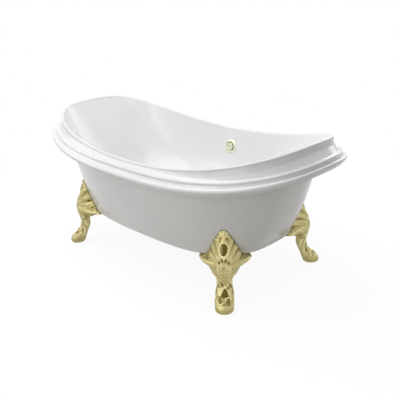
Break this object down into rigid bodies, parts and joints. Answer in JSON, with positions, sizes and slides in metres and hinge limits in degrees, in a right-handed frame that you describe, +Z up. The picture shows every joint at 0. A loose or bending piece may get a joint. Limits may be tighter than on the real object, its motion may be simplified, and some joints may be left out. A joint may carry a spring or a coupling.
{
  "type": "clawfoot bathtub",
  "caption": "Double-ended freestanding bathtub with a beaded rim that rises to both ends, an outer skirt, cast claw feet, an overflow with a turning knob, and a pop-up waste.",
  "frame": {"origin": "on the floor, under the middle of the tub", "axes": "+X along the tub, +Y to the side that carries the overflow, +Z up"},
  "size_m": [1.83, 0.97, 0.7933],
  "materials": {
    "tub_acrylic": "glossy white",
    "foot_brass": "polished, darkened in the carving",
    "trim_brass": "polished",
    "zinc_steel": "zinc plated",
    "frame_paint": "satin black",
    "board": "bare chipboard",
    "waste_plastic": "moulded, light grey",
    "hose_plastic": "flexible, dark grey",
    "cable_casing": "black",
    "gasket_rubber": "matt black"
  },
  "bodies": {
    "tub": {"basin": "tub_acrylic", "skirt": "tub_acrylic", "foot_plates": "zinc_steel", "frame_rails": "frame_paint", "frame_crossmembers": "frame_paint", "base_board": "board", "board_screws": "zinc_steel", "overflow_ring": "trim_brass", "overflow_gasket": "gasket_rubber", "overflow_body": "waste_plastic", "drain_flange": "trim_brass", "drain_gasket": "gasket_rubber", "waste_body": "waste_plastic", "tail_pipe": "trim_brass", "tail_washer": "gasket_rubber", "tail_nut": "waste_plastic", "overflow_hose": "hose_plastic", "hose_nuts": "waste_plastic", "control_cable": "cable_casing", "cable_glands": "zinc_steel", "foot_rear_right": "foot_brass", "foot_rear_left": "foot_brass", "foot_front_right": "foot_brass", "foot_front_left": "foot_brass", "foot_bolts": "zinc_steel", "foot_washers": "zinc_steel"},
    "knob": {"overflow_knob": "trim_brass", "knob_spindle": "zinc_steel", "cable_cam": "waste_plastic"},
    "stopper": {"stopper_cap": "trim_brass", "stopper_seal": "gasket_rubber", "stopper_stem": "zinc_steel"},
    "pin": {"lift_pin": "zinc_steel"}
  },
  "joints": [
    {"name": "knob_turn", "type": "hinge", "parent": "tub", "child": "knob", "pos_m": [0, 0.38454, 0.54], "axis": [0, -0.9906, 0.1368], "range_deg": [0, 100]},
    {"name": "stopper_lift", "type": "slide", "parent": "tub", "child": "stopper", "axis": [0, 0, 1], "range_m": [0, 0.01]},
    {"name": "pin_lift", "type": "slide", "parent": "tub", "child": "pin", "axis": [0, 0, 1], "range_m": [0, 0.01]}
  ],
  "couplings": [
    {"joint": "stopper_lift", "follows": "knob_turn", "m_per_rad": 0.00572},
    {"joint": "pin_lift", "follows": "knob_turn", "m_per_rad": 0.00572}
  ]
}
